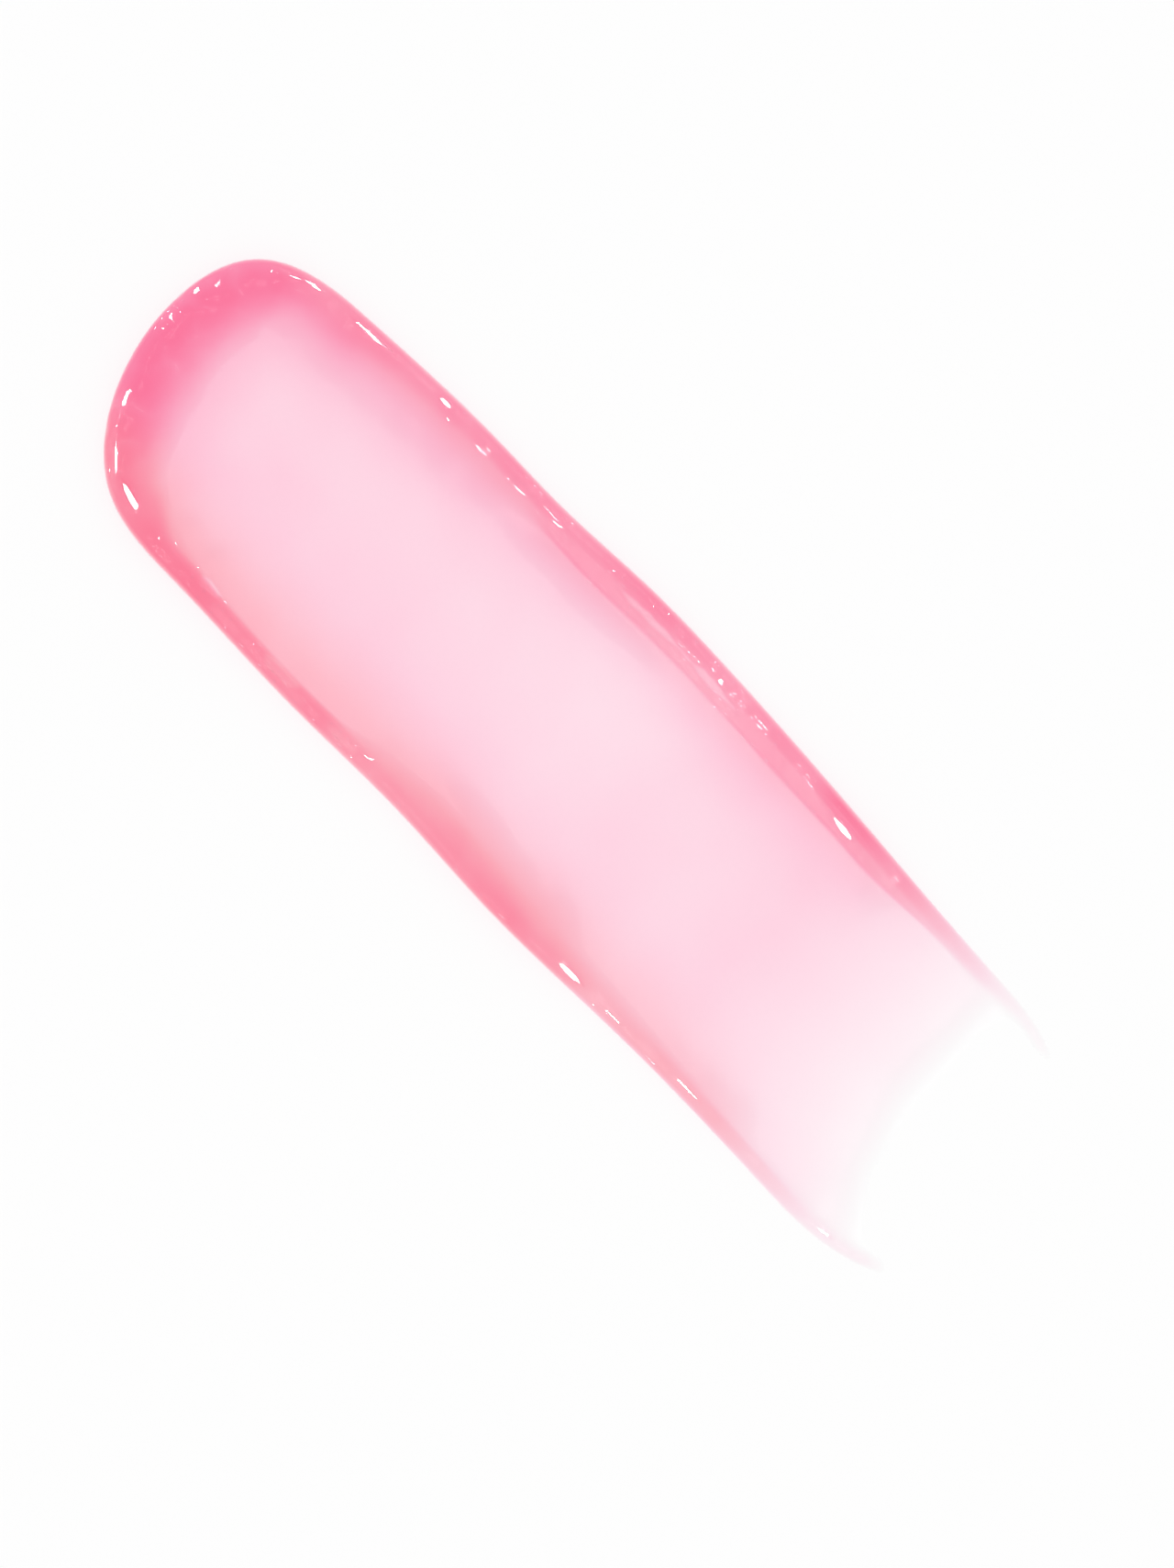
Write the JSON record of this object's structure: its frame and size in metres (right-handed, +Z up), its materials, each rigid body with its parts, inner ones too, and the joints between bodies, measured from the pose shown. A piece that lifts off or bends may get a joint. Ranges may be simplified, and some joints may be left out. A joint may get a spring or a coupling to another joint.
{
  "type": "lip gloss smear",
  "caption": "Thick smear of clear pink lip gloss drawn on a flat surface: a rounded head, raised beads along its edges and a thin film that feathers out between trailing wisps.",
  "frame": {"origin": "middle of the smear's length and width, on the surface it lies on", "axes": "+X along the stroke from the blunt head to the wisps, +Y to the side with the folded bead, +Z up off the surface"},
  "size_m": [0.0522, 0.015, 0.0013],
  "materials": {
    "gloss_thick": "wet, clear pink gel, glossy, where it stands thick",
    "gloss_fold": "wet, clear pink gel, glossy, of middling thickness",
    "gloss_film": "wet, clear pale pink film, glossy"
  },
  "bodies": {
    "root": {"start_bank": "gloss_thick", "upper_bead": "gloss_thick", "lower_bead": "gloss_thick", "upper_fold": "gloss_fold", "lower_swell": "gloss_fold", "upper_wisp": "gloss_film", "lower_wisp": "gloss_film", "film": "gloss_film", "feathered_film": "gloss_film"}
  },
  "joints": []
}
